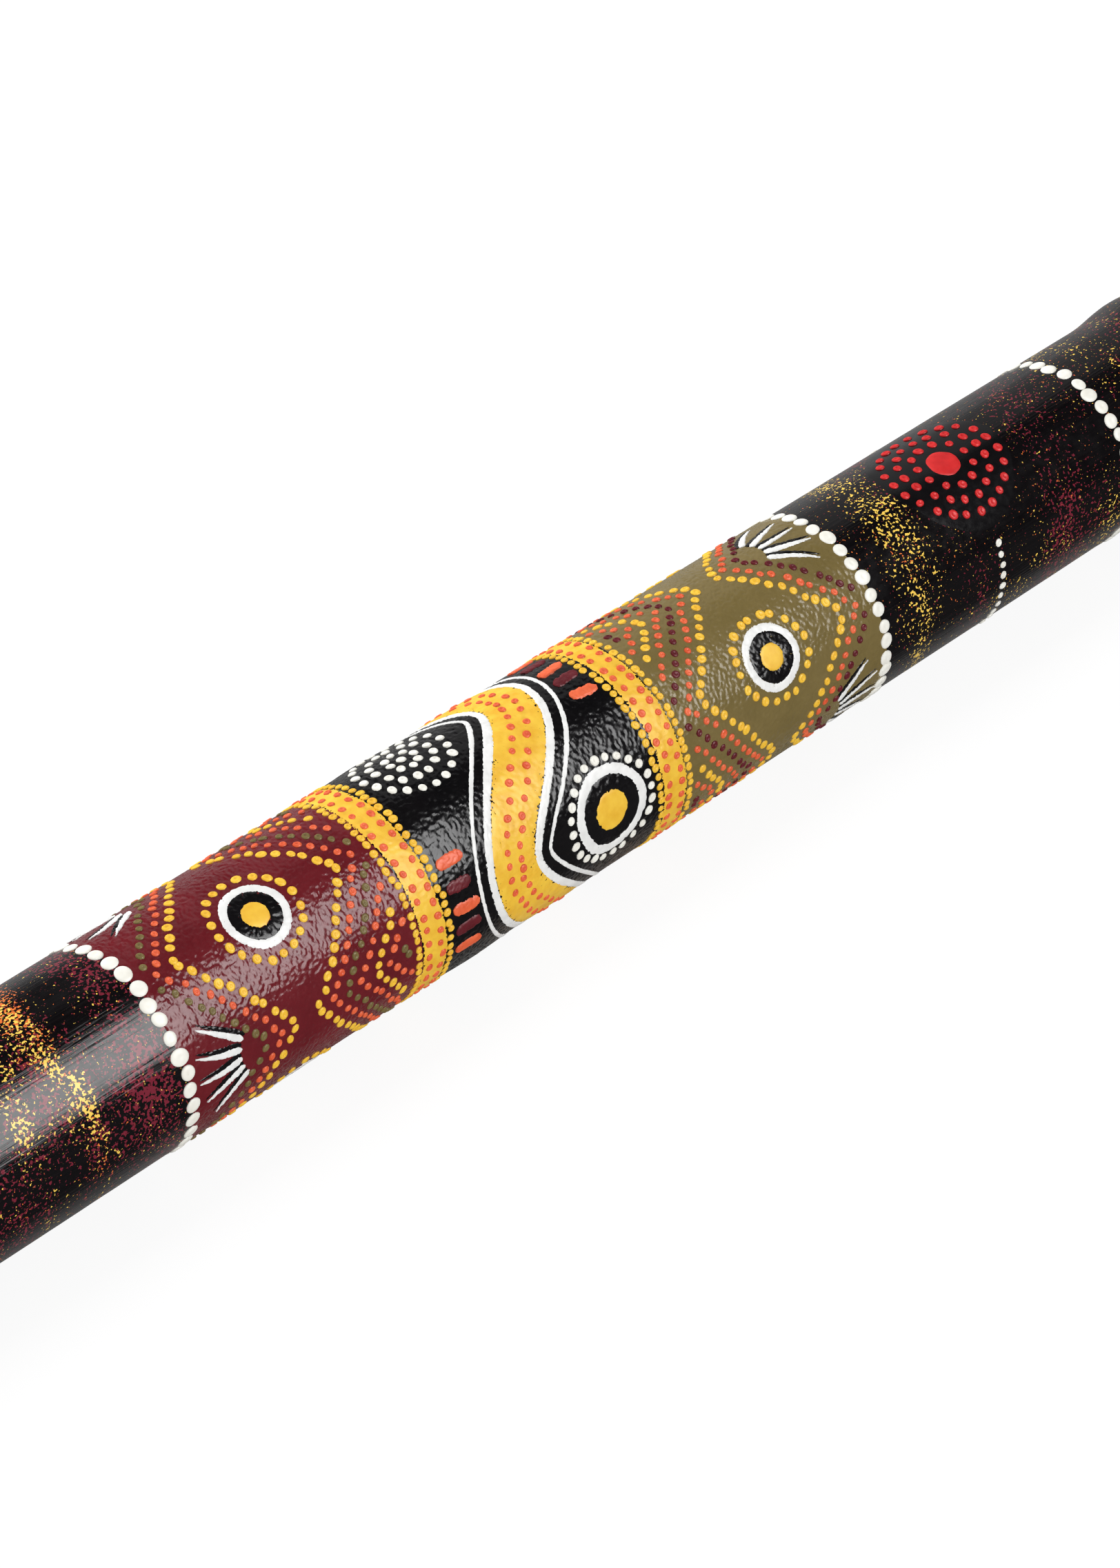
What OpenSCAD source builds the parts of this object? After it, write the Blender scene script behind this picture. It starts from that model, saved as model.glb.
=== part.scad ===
// Painted bamboo didgeridoo, lying on its side along X with its mouth towards +X.
// The culm is a bored length of bamboo, the mouthpiece is kneaded beeswax, and every
// other piece is paint with a body of its own: ground coats, colour fields and raised marks.
// Angles round the tube are counted from the top, positive towards -Y.

/* [Culm] */
// Length of the bamboo culm
culm_length = 1190; // [900:10:1400]
// Outside diameter at the bell end
bell_outer_d = 59; // [54:0.5:70]
// Outside diameter at the mouth end
mouth_outer_d = 54; // [50:0.5:64]
// Diameter of the bore between the nodes
bore_d = 44; // [40:0.5:47]

/* [Bamboo nodes] */
// Distance from the bell end to the first node
first_node = 275; // [240:5:300]
// Distance from one node to the next
node_spacing = 300; // [260:5:305]
// How far each sanded node ridge stands proud, from the bell end on
ridge_heights = [1.7, 0.5, 1.7];
// Length of a node ridge along the culm
ridge_width = 34; // [20:1:40]
// Diameter of the hole knocked through each diaphragm
diaphragm_bore_d = 38; // [34:0.5:39]
// Thickness of a diaphragm rim
diaphragm_thickness = 6; // [4:0.5:9]

/* [Mouthpiece] */
// How far the wax stands out beyond the culm
wax_lip = 10; // [6:0.5:16]
// Diameter of the wax bore that the player blows into
wax_bore_d = 30; // [26:0.5:34]
// How far the wax reaches into the culm
wax_depth = 22; // [12:1:40]
// Length of the wax collar that laps over the outside
wax_collar_length = 9; // [5:0.5:16]
// Thickness of that collar
wax_collar_thickness = 1.1; // [0.6:0.1:1.2]

/* [Ground coats] */
// Thickness of the ground coats
coat_thickness = 0.4; // [0.2:0.05:0.6]
// Bare bamboo left at the bell end
bare_bell = 3; // [0:0.5:10]
// Length of the decorated panel
panel_length = 252; // [220:2:280]
// Length of the black field in the middle of the panel
centre_length = 96; // [92:2:100]

/* [Dot rings] */
// Diameter of the large white dots
large_dot_d = 4.6; // [3.5:0.1:4.8]
// Height of the large white dots
large_dot_h = 0.55; // [0.3:0.05:0.7]
// Number of large dots in a ring
large_dot_count = 36; // [28:1:36]
// Diameter of the fine white dots
fine_dot_d = 2.4; // [1.8:0.1:3]
// Height of the fine dots
fine_dot_h = 0.4; // [0.2:0.05:0.6]
// Number of fine dots in a full ring
fine_dot_count = 50; // [36:1:54]
// Distance from the panel to the fine dot ring
fine_ring_offset = 48; // [40:1:60]
// Distance from the panel to the outer dot rings
outer_ring_offset = 103; // [90:1:120]

/* [Raised marks] */
// Thickness of brushed paint over the ground coat
film = 0.15; // [0.1:0.05:0.3]
// Diameter of the yellow dots
yellow_dot_d = 2.7; // [2.2:0.1:3]
// Diameter of the orange dots
orange_dot_d = 2.3; // [2:0.1:2.6]
// Height of the small dots
small_dot_h = 0.46; // [0.3:0.02:0.6]
// Rise of the diamond outlines from waist to tip
diamond_rise = 24; // [18:1:25]
// Half the gap at a diamond's waist
diamond_waist = 3.5; // [2.5:0.5:5]
// Distance from one row of dots to the next
row_gap = 4.9; // [4.5:0.1:5.5]
// Swing of the wavy band to each side
river_swing = 14; // [10:1:15]
// Angle round the tube where the wave starts
river_turn = 120; // [0:5:180]
// Half width of the gold part of the wavy band
river_gold_half = 7; // [5.5:0.5:7.5]
// Width of the white lines that edge it
river_line = 2.5; // [1:0.5:2.5]
// Distance from the band's middle to its outer echo line
river_echo = 12; // [11:0.5:12.5]
// Distance of each orange row from the middle of its gold band or border
gold_row = 2.2; // [1.8:0.1:2.8]
// Width of the gold border at each end of the black field
gold_border = 8.5; // [7:0.5:8.5]
// Diameter of the yellow beads along the edges of the gold borders
bead_d = 2.4; // [2:0.1:2.6]

/* [Medallions] */
// Outer diameters of the gold, black and white parts of a small medallion
small_medallion = [8, 14, 19];
// Outer diameters of the gold, black and white parts of a large medallion
large_medallion = [11.5, 19, 25];
// Distance from the middle of the panel to the middle of a bay
bay_x = 21; // [20:0.5:21.5]
// Diameter of the dot ring round a small medallion
small_halo_d = 24.5; // [23:0.5:27]
// Diameter of the dot ring round a large medallion
large_halo_d = 29; // [28.5:0.5:29.5]

/* [Strokes and bars] */
// Width of a white stroke where the brush landed
stroke_width = 2.1; // [1.6:0.1:2.4]
// Length of a white stroke
stroke_length = 13.5; // [11:0.5:14]
// Angle between neighbouring strokes of a fan
stroke_fan = 18; // [15:1:20]
// Distance from the middle of a field to the point where the strokes of a fan would meet
fan_foot = 14; // [13.5:0.5:15]
// Distance from that point to the start of each stroke
fan_open = 8; // [7.5:0.5:9]
// How far the black shadow of a stroke is set to one side
stroke_shadow = 1.2; // [0.8:0.1:1.4]
// Length of an orange or dark red bar
bar_length = 8.5; // [7:0.5:9.5]
// Width of a bar
bar_width = 3.6; // [3:0.2:4.4]
// Height of a bar
bar_height = 0.3; // [0.2:0.05:0.4]
// Distance from one bar to the next
bar_pitch = 6.4; // [5.4:0.2:7]

/* [Rosettes] */
// Spacing of the rings of white dots in a white rosette
white_step = 4.4; // [4:0.1:4.6]
// Diameter of the black roundel that carries the red rosette
roundel_d = 42; // [40:1:46]
// Diameter of the red disc in the middle of the red rosette
red_disc_d = 10; // [8:0.5:11]
// Diameter of the red dots round that disc
red_dot_d = 2.8; // [2:0.1:3]
// Spacing of the rings of red dots
red_step = 4.6; // [4:0.1:4.8]
// Angle of the red rosette round the tube
red_angle = 8; // [-40:1:60]

/* [Hidden] */
$fn = 96;

overall_length = culm_length + wax_lip;
bell_x = -overall_length / 2;
mouth_x = bell_x + culm_length;
nodes = [0 : len(ridge_heights) - 1];
node_xs = [for (i = nodes) bell_x + first_node + i * node_spacing];

panel_half = panel_length / 2;
centre_half = centre_length / 2;
field_length = panel_half - centre_half;
field_mid = centre_half + field_length / 2;
coat_end_x = mouth_x - wax_collar_length;

bore_r = bore_d / 2;
seat_gap = 0.01;
past = 1;
diamonds = 3;
waves = 2;
river_stations = 72;

function taper_r(x) =
    bell_outer_d / 2 + (mouth_outer_d - bell_outer_d) / 2 * (x - bell_x) / culm_length;
function swell(t) = abs(t) < 1 ? (1 + cos(180 * t)) / 2 : 0;
function ridge(x) = max([for (i = nodes) ridge_heights[i] * swell((x - node_xs[i]) / (ridge_width / 2))]);
function culm_r(x) = taper_r(x) + ridge(x);
function skin_r(x) = culm_r(x) + coat_thickness;
// One degree round the tube, as a length on the skin in the middle of the panel
degree = PI * (taper_r(0) + coat_thickness) / 180;

// The tube lies on its ridges, so the axis is as high as the fattest one.
axis_z = max([for (n = node_xs) skin_r(n)]);

// Stations along the culm between two ends: the ends, and enough of each ridge to round it.
ridge_steps = [-1, -0.75, -0.5, -0.25, 0, 0.25, 0.5, 0.75, 1];
function stations(from, to) = concat(
    [from],
    [for (n = node_xs, t = ridge_steps)
        let (x = n + t * ridge_width / 2) if (x > from + seat_gap && x < to - seat_gap) x],
    [to]
);
function backwards(list) = [for (i = [len(list) - 1 : -1 : 0]) list[i]];

module lying() {
    translate([0, 0, axis_z]) children();
}

// Turns a closed outline of [x, radius] points about the tube's axis.
module turned(outline) {
    lying() rotate([0, 90, 0]) rotate_extrude() polygon([for (p = outline) [p[1], p[0]]]);
}

// A coat on the culm, between two heights above the bare bamboo.
module sleeve(from, to, under, over) {
    xs = stations(from, to);
    turned(concat(
        [for (x = xs) [x, culm_r(x) + over]],
        [for (x = backwards(xs)) [x, culm_r(x) + under]]
    ));
}

// Stands something on the skin, upright to it also on the slope of a ridge.
function skin_slope(x) = skin_r(x + 0.5) - skin_r(x - 0.5);
module on_skin(x, angle) {
    lying() translate([x, 0, 0]) rotate([angle, 0, 0])
        translate([0, 0, skin_r(x) + seat_gap]) rotate([0, -atan(skin_slope(x)), 0]) children();
}

// Brushed paint: the film inside an outline that is pressed straight down on to the skin.
module brushed(place, reach) {
    intersection() {
        sleeve(place[0] - reach, place[0] + reach, coat_thickness, coat_thickness + film);
        on_skin(place[0], place[1]) translate([0, 0, -reach]) linear_extrude(2 * reach) children();
    }
}

// A disc of brushed paint, or a ring where it has an inner diameter.
module patch(place, inner_d, outer_d) {
    brushed(place, outer_d / 2 + past) difference() {
        circle(d = outer_d);
        if (inner_d > 0) circle(d = inner_d);
    }
}

// A drop of paint: the cap of a ball, flat underneath.
module drop(d, h) {
    ball_r = (d * d / 4 + h * h) / (2 * h);
    intersection() {
        translate([0, 0, h - ball_r]) sphere(r = ball_r);
        cylinder(h = h + past, d = d + past);
    }
}

// Drops at a list of [x, angle] places, some a little smaller than the others. They sit on the
// ground coat, or on paint of the given thickness over it.
module drops(places, d, h, uneven, seed, under = 0) {
    sizes = rands(1 - uneven, 1, len(places), seed);
    for (i = [0 : len(places) - 1])
        on_skin(places[i][0], places[i][1]) translate([0, 0, under]) drop(d * sizes[i], h);
}

function ring_places(x, count) = [for (i = [0 : count - 1]) [x, 360 * i / count]];
function halo_places(x, angle, d, count) = [
    for (i = [0 : count - 1])
        let (t = 360 * i / count) [x + d / 2 * cos(t), angle + d / 2 * sin(t) / degree]
];

// The bamboo: one bored culm whose diaphragms are knocked through to rims.
module bamboo_culm() {
    color("burlywood") turned(concat(
        [for (x = stations(bell_x, mouth_x)) [x, culm_r(x)]],
        [[mouth_x, bore_r]],
        [for (n = backwards(node_xs), p = [[1, bore_r], [1, diaphragm_bore_d / 2],
                                           [-1, diaphragm_bore_d / 2], [-1, bore_r]])
            [n + p[0] * diaphragm_thickness / 2, p[1]]],
        [[bell_x, bore_r]]
    ));
}

// Wax kneaded over the rim: a plug in the bore, a rounded lip and a thin collar outside.
module beeswax_mouthpiece() {
    collar_r = taper_r(mouth_x) + wax_collar_thickness;
    wax_r = wax_bore_d / 2;
    lip_mid = (collar_r + wax_r) / 2;
    lip_half = (collar_r - wax_r) / 2;
    lip_flat = lip_half / 3;
    lip_arc = [for (t = [0 : 15 : 90]) t];
    straight = wax_lip * 0.4;
    crown = wax_lip - straight;
    color("darkgoldenrod") turned(concat(
        [[coat_end_x, taper_r(coat_end_x)], [coat_end_x, collar_r], [mouth_x + straight, collar_r]],
        [for (t = lip_arc) [mouth_x + straight + crown * sin(t),
                            lip_mid + lip_flat + (lip_half - lip_flat) * cos(t)]],
        [for (t = backwards(lip_arc)) [mouth_x + straight + crown * sin(t),
                                       lip_mid - lip_flat - (lip_half - lip_flat) * cos(t)]],
        [[mouth_x - wax_depth, wax_r], [mouth_x - wax_depth, bore_r], [mouth_x, bore_r],
         [mouth_x, taper_r(mouth_x)]]
    ));
}

module bell_ground_coat() {
    color([0.06, 0.055, 0.06]) sleeve(bell_x + bare_bell, -panel_half, 0, coat_thickness);
}

module mouth_ground_coat() {
    color([0.06, 0.055, 0.06]) sleeve(panel_half, coat_end_x, 0, coat_thickness);
}

module maroon_field() {
    color([0.36, 0.1, 0.13]) sleeve(-panel_half, -centre_half, 0, coat_thickness);
}

module centre_field() {
    color([0.05, 0.05, 0.055]) sleeve(-centre_half, centre_half, 0, coat_thickness);
}

module olive_field() {
    color([0.44, 0.38, 0.2]) sleeve(centre_half, panel_half, 0, coat_thickness);
}

// White dot rings: two close the panel, a fine one and two outer ones stand in the black.
module large_dot_ring(x, seed) {
    color("ivory") drops(ring_places(x, large_dot_count), large_dot_d, large_dot_h, 0.1, seed);
}

module bell_dot_ring() {
    large_dot_ring(-panel_half, 11);
}

module mouth_dot_ring() {
    large_dot_ring(panel_half, 12);
}

module upper_dot_ring() {
    large_dot_ring(panel_half + outer_ring_offset, 13);
}

module lower_dot_ring() {
    large_dot_ring(-panel_half - outer_ring_offset, 14);
}

// A rosette: rings of dots round a middle one, a step apart.
function rosette(x, angle, step, rings) = [
    for (k = [0 : len(rings) - 1]) each halo_places(x, angle, 2 * k * step, rings[k])
];

// The red rosette on its black roundel, and the fine dot ring, which stops short of it on both sides.
red_rings = [11, 17, 23];
red_x = panel_half + fine_ring_offset;
red_place = [red_x, red_angle];
red_reach = asin(roundel_d / 2 / skin_r(red_x)) + fine_dot_d / degree;

module fine_dot_ring() {
    places = [
        for (p = ring_places(red_x, fine_dot_count))
            let (turn = (p[1] - red_angle + 540) % 360 - 180) if (abs(turn) > red_reach) p
    ];
    color("ivory") drops(places, fine_dot_d, fine_dot_h, 0.1, 15);
}

module black_roundel() {
    color([0.05, 0.05, 0.055]) patch(red_place, red_disc_d, roundel_d);
}

module red_disc() {
    color("crimson") patch(red_place, 0, red_disc_d);
}

module red_rosette() {
    places = [
        for (k = [0 : len(red_rings) - 1])
            each halo_places(red_x, red_angle, red_disc_d + (2 * k + 1.6) * red_step, red_rings[k])
    ];
    color("crimson") drops(places, red_dot_d, small_dot_h, 0.1, 16, film);
}

// The wavy band round the black field. A point on it is a distance beside its middle line.
function river_x(angle) = river_swing * sin(waves * (angle - river_turn));
function river_slope(angle) = river_swing * waves * cos(waves * (angle - river_turn)) * PI / 180 / degree;
function river_point(angle, beside) =
    let (slope = river_slope(angle), long = sqrt(1 + slope * slope))
    [river_x(angle) + beside / long, angle - beside * slope / long / degree];
function river_corner(angle, beside, up) =
    let (p = river_point(angle, beside), r = skin_r(p[0]) + up)
    [p[0], -r * sin(p[1]), r * cos(p[1])];

// A closed strip of paint that follows the wave between two distances beside its middle line.
// Its section is a flat loop of corners: out along the skin, and back along the top of the film.
module river_strip(inner, outer, cells) {
    out = [for (k = [0 : cells]) inner + (outer - inner) * k / cells];
    section = concat([for (b = out) [b, 0]], [for (b = backwards(out)) [b, film]]);
    sides = len(section);
    corners = [
        for (i = [0 : river_stations - 1], c = section)
            river_corner(360 * i / river_stations, c[0], c[1])
    ];
    faces = [
        for (i = [0 : river_stations - 1], k = [0 : sides - 1])
            let (here = i * sides, next = (i + 1) % river_stations * sides, turn = (k + 1) % sides)
            each [[here + k, next + turn, next + k], [here + k, here + turn, next + turn]]
    ];
    lying() polyhedron(points = corners, faces = faces);
}

module river_gold() {
    color("goldenrod") river_strip(-river_gold_half, river_gold_half, 6);
}

module river_white_lines() {
    color("whitesmoke") for (side = [-1, 1]) {
        edge = side * river_gold_half;
        echo_edge = side * river_echo;
        river_strip(min(edge, edge + side * river_line), max(edge, edge + side * river_line), 1);
        river_strip(min(echo_edge, echo_edge + side * river_line / 2),
                    max(echo_edge, echo_edge + side * river_line / 2), 1);
    }
}

// Gold borders where the black field meets the coloured ones.
module gold_borders() {
    color("goldenrod") for (from = [-centre_half, centre_half - gold_border])
        sleeve(from, from + gold_border, coat_thickness, coat_thickness + film);
}

// Medallions: small ones in the diamonds, large ones in the bays on the wave's mouth side.
// The bays on its bell side lie over a node ridge and hold rosettes of dots instead.
function diamond_turn(side) = side < 0 ? 20 : 50;
diamond_angles = [for (i = [0 : diamonds - 1]) 360 * i / diamonds];
small_places = [for (a = diamond_angles, side = [-1, 1]) [side * field_mid, a + diamond_turn(side)]];
large_places = [for (i = [0 : waves - 1]) [bay_x, river_turn + (270 + 360 * i) / waves]];
rosette_places = [for (i = [0 : waves - 1]) [-bay_x, river_turn + (90 + 360 * i) / waves]];

module medallion_part(part) {
    inner = part - 1;
    for (p = small_places) patch(p, part == 0 ? 0 : small_medallion[inner], small_medallion[part]);
    for (p = large_places) patch(p, part == 0 ? 0 : large_medallion[inner], large_medallion[part]);
}

module medallion_gold() {
    color("goldenrod") medallion_part(0);
}

module medallion_black() {
    color([0.05, 0.05, 0.055]) medallion_part(1);
}

module medallion_white() {
    color("whitesmoke") medallion_part(2);
}

// Rows of small dots. Row 0 zigzags along a diamond from its waist to its tip, and the rows after
// it echo it, each with its dots opposite the gaps of the last, as far as the edge of the field.
legs = 2 * diamonds;
leg_dots = 11;
edge_room = 4.4;
function zigzag(angle) = abs((angle * diamonds / 180 + 1) % 2 - 1);
function diamond_row(side, end, row) = [
    for (i = [0 : legs * leg_dots - 1])
        let (angle = 360 * (i + (1 + row % 2) / 2) / (legs * leg_dots),
             away = diamond_waist + diamond_rise * (1 - zigzag(angle)) + row * row_gap)
        if (away < field_length / 2 - edge_room) [side * field_mid + end * away, angle + diamond_turn(side)]
];
function border_row(beside, count) = [
    for (side = [-1, 1], i = [0 : count - 1])
        [side * (centre_half - gold_border / 2 + beside), 360 * i / count + beside]
];
function river_row(beside, count) = [
    for (i = [0 : count - 1]) river_point(360 * (i + 0.5) / count + beside, beside)
];

halo_count = 20;
large_halo_count = 24;
white_rings = [1, 8, 14, 20];
border_count = 44;
river_count = 52;

// Yellow rows outline the diamonds of a field and ring its medallions, orange rows run outside them,
// and more rows of yellow, orange and a fill colour close the ground towards the black field.
module field_yellow_dots(side, seed) {
    places = concat(
        [for (end = [-1, 1]) each diamond_row(side, end, 0)],
        diamond_row(side, -side, 4),
        [for (p = small_places) if (p[0] * side > 0) each halo_places(p[0], p[1], small_halo_d, halo_count)]
    );
    color("gold") drops(places, yellow_dot_d, small_dot_h, 0.1, seed);
}

module field_orange_dots(side, seed) {
    places = concat(
        [for (end = [-1, 1]) each diamond_row(side, end, 1)],
        [for (row = [3, 5]) each diamond_row(side, -side, row)]
    );
    color("tomato") drops(places, orange_dot_d, small_dot_h, 0.1, seed);
}

module field_fill_dots(side, seed) {
    places = concat(
        [for (end = [-1, 1]) each diamond_row(side, end, 2)],
        diamond_row(side, -side, 6)
    );
    drops(places, orange_dot_d, small_dot_h, 0.1, seed);
}

module maroon_yellow_dots() {
    field_yellow_dots(-1, 21);
}

module olive_yellow_dots() {
    field_yellow_dots(1, 22);
}

module maroon_orange_dots() {
    field_orange_dots(-1, 23);
}

module olive_orange_dots() {
    field_orange_dots(1, 24);
}

module maroon_olive_dots() {
    color([0.44, 0.38, 0.2]) field_fill_dots(-1, 28);
}

module olive_maroon_dots() {
    color([0.36, 0.1, 0.13]) field_fill_dots(1, 29);
}

// Orange dots along the gold of the black field, and yellow beads along the edges of its borders.
module centre_orange_dots() {
    places = [
        for (beside = [-gold_row, gold_row])
            each concat(border_row(beside, border_count), river_row(beside, river_count))
    ];
    color("tomato") drops(places, orange_dot_d, small_dot_h, 0.1, 25, film);
}

bead_out = bead_d / 2 + seat_gap;
bead_count = 69;
bead_xs = [centre_half + bead_out, centre_half - gold_border - bead_out];

module border_beads() {
    places = [for (side = [-1, 1], x = bead_xs) each ring_places(side * x, bead_count)];
    color("gold") drops(places, bead_d, small_dot_h, 0.1, 30);
}

// Fans of white strokes between the diamonds, on the side of the field that the dot ring closes.
// A stroke starts blunt, ends in a point and has a black shadow along one side.
fan_leans = [-2 : 2];
stroke_tip = 0.3;
fan_reach = fan_open + stroke_length + past;
function fan_places(side) = [
    for (a = diamond_angles) [side * (field_mid + fan_foot), a + diamond_turn(side) + 180 / diamonds]
];

module stroke_outlines(side, shift) {
    half = stroke_width / 2;
    mirror([side < 0 ? 1 : 0, 0]) for (lean = fan_leans)
        rotate(lean * stroke_fan) translate([fan_open, shift]) polygon([
            [0, -half / 2], [half / 2, -half], [stroke_length / 3, -half], [stroke_length, -stroke_tip / 2],
            [stroke_length, stroke_tip / 2], [stroke_length / 3, half], [half / 2, half], [0, half / 2]
        ]);
}

module white_strokes() {
    color("whitesmoke") for (side = [-1, 1], place = fan_places(side))
        brushed(place, fan_reach) stroke_outlines(side, 0);
}

module black_stroke_shadows() {
    color([0.05, 0.05, 0.055]) for (side = [-1, 1], place = fan_places(side))
        brushed(place, fan_reach) difference() {
            stroke_outlines(side, stroke_shadow);
            stroke_outlines(side, 0);
        }
}

// Bars in the narrow stretches of the black field, orange and dark red by turns, five in a row.
bar_x = (centre_half - gold_border - bead_d + river_swing + river_echo + river_line / 2) / 2;
bar_row = [-2 : 2];
function bar_places(odd) = [
    for (i = [0 : waves - 1], side = [-1, 1], k = bar_row)
        if (abs(k) % 2 == odd)
            [side * bar_x, river_turn + (360 * i + 180 - 90 * side) / waves + k * bar_pitch / degree]
];

module bar() {
    half = bar_width / 2;
    straight = bar_length / 2 - half / 2;
    linear_extrude(bar_height) polygon([
        for (end = [1, -1]) each [
            [end * straight, -end * half], [end * bar_length / 2, -end * half / 2],
            [end * bar_length / 2, end * half / 2], [end * straight, end * half]
        ]
    ]);
}

module bars(odd) {
    for (p = bar_places(odd)) on_skin(p[0], p[1]) bar();
}

module orange_bars() {
    color("tomato") bars(0);
}

module dark_red_bars() {
    color([0.36, 0.1, 0.13]) bars(1);
}

module white_halo_dots() {
    places = [for (p = large_places) each halo_places(p[0], p[1], large_halo_d, large_halo_count)];
    color("ivory") drops(places, yellow_dot_d, small_dot_h, 0.1, 26);
}

module white_rosettes() {
    places = [for (p = rosette_places) each rosette(p[0], p[1], white_step, white_rings)];
    color("ivory") drops(places, yellow_dot_d, small_dot_h, 0.1, 27);
}

bamboo_culm();
beeswax_mouthpiece();
bell_ground_coat();
mouth_ground_coat();
maroon_field();
centre_field();
olive_field();
bell_dot_ring();
mouth_dot_ring();
fine_dot_ring();
upper_dot_ring();
lower_dot_ring();
river_gold();
river_white_lines();
gold_borders();
medallion_gold();
medallion_black();
medallion_white();
maroon_yellow_dots();
olive_yellow_dots();
maroon_orange_dots();
olive_orange_dots();
centre_orange_dots();
maroon_olive_dots();
olive_maroon_dots();
border_beads();
white_strokes();
black_stroke_shadows();
orange_bars();
dark_red_bars();
white_halo_dots();
white_rosettes();
black_roundel();
red_disc();
red_rosette();
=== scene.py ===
# %% [markdown]
# # A painted bamboo didgeridoo
#
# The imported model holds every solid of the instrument, in metres, lying along X with its
# mouth towards +X. It is loaded first and never changed. Each cell after that takes one
# piece or finish of the real thing and makes it in Blender around those solids.

import math

import bmesh
import bpy
import numpy as np
from mathutils import Matrix, Vector


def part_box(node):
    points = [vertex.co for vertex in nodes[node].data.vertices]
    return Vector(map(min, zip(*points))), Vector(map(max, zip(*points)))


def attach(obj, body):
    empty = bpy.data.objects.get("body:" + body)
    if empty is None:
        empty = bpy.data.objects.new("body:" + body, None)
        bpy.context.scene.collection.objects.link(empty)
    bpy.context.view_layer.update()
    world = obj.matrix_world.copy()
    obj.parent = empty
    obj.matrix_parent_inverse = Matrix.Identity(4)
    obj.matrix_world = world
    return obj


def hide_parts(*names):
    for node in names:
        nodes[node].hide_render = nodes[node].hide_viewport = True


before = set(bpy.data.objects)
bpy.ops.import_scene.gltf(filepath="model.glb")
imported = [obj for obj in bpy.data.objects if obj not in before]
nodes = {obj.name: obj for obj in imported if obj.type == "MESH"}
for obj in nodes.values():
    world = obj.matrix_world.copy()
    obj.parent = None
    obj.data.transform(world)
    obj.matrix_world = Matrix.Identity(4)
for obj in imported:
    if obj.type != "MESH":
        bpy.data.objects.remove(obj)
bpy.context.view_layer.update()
MM = 0.001
print("nodes in the frame:", len(nodes))

# %% [markdown]
# ## The skin of the tube
#
# All the paint lies on one surface: the outside of the ground coats, a slim cone with three
# low swellings where the bamboo has its nodes. Its radius along the tube is read from the
# solids, so everything that is painted later sits on them. The solids round a swelling with
# a few cones, and a short running average makes it smooth.

# %% Measure the skin
culm_low, culm_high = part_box("bamboo_culm")
axis_z = (culm_low.z + culm_high.z) / 2
COATS = ("bell_ground_coat", "maroon_field", "centre_field", "olive_field", "mouth_ground_coat")


def get_points(piece):
    """The vertices of a piece or a solid, one row each."""
    points = np.empty(3 * len(piece.data.vertices), np.float32)
    piece.data.vertices.foreach_get("co", points)
    return points.reshape(-1, 3).astype(float)


def radii_along(node):
    """The places along the tube and the radii of a solid's vertices."""
    x, y, z = get_points(nodes[node]).T
    return x, np.hypot(y, z - axis_z)


def measure_skin(step=0.5 * MM, reach=5):
    """Stations along the tube and the skin's radius at each, averaged over reach stations."""
    widest = {}
    for coat in COATS:
        for x, r in zip(*radii_along(coat)):
            key = round(x, 5)
            widest[key] = max(widest.get(key, 0), r)
    known = sorted(widest)
    stations = np.arange(known[0], known[-1] + step, step)
    radii = np.interp(stations, known, [widest[x] for x in known])
    padded = np.pad(radii, reach, mode="edge")
    window = np.ones(2 * reach + 1) / (2 * reach + 1)
    return stations, np.convolve(padded, window, mode="valid")


skin_x, skin_r = measure_skin()


def skin(x):
    """Radius of the painted skin at a place along the tube."""
    return np.interp(x, skin_x, skin_r)


round_r = float(skin(0))
way_round = 2 * math.pi * round_r
print(f"axis height {axis_z / MM:.2f} mm, skin radius at the middle {round_r / MM:.2f} mm")

# %% [markdown]
# ## Working flat
#
# A painter works on a surface that can be unrolled, and so does this script. A mark is
# modelled flat on the bench: x along the tube, y the way round it from the top, z the height
# of the paint. Then `wrap` rolls it up on to the skin. Shrinkwrap could press a mark on to the
# tube as well, but it would also press out the height of the paint. Rolling keeps it, and
# marks of every kind land exactly on the surface.

# %% Helpers for the flat bench
def start_fresh():
    """Leaves nothing selected, so that an operator acts on the new piece alone."""
    bpy.ops.object.select_all(action="DESELECT")


def pick(piece):
    """Selects one piece and makes it active."""
    start_fresh()
    piece.select_set(True)
    bpy.context.view_layer.objects.active = piece


def set_points(piece, points):
    """Moves the vertices of a piece."""
    piece.data.vertices.foreach_set("co", np.asarray(points, np.float32).ravel())
    piece.data.update()


def wrap(piece):
    """Rolls a flat piece up on to the skin of the tube."""
    x, y, z = get_points(piece).T
    turn = y / round_r
    r = skin(x) + z
    set_points(piece, np.column_stack([x, r * np.sin(turn), axis_z + r * np.cos(turn)]))


def merge_doubles(piece, distance=0.005 * MM):
    """Sews edges that lie on each other."""
    pick(piece)
    bpy.ops.object.mode_set(mode="EDIT")
    bpy.ops.mesh.select_all(action="SELECT")
    bpy.ops.mesh.remove_doubles(threshold=distance)
    bpy.ops.object.mode_set(mode="OBJECT")


def shade_smooth(piece, degrees):
    """Shades a piece smooth, apart from edges sharper than this."""
    pick(piece)
    bpy.ops.object.shade_smooth_by_angle(angle=math.radians(degrees))


def place_on_part(piece, node):
    """Makes a finished piece part of the instrument, in the place of its solid."""
    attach(piece, "root")
    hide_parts(node)
    print(f"{piece.name}: {len(piece.data.polygons)} faces")


# %% [markdown]
# ### Reliefs
#
# Paint, wax and cane are never quite level, and a highlight shows it. A relief could be left to
# the bump of a material, but then the mesh stays level. So a cloud texture moves the vertices
# with a Displace modifier, and the modifier is applied.

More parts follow.
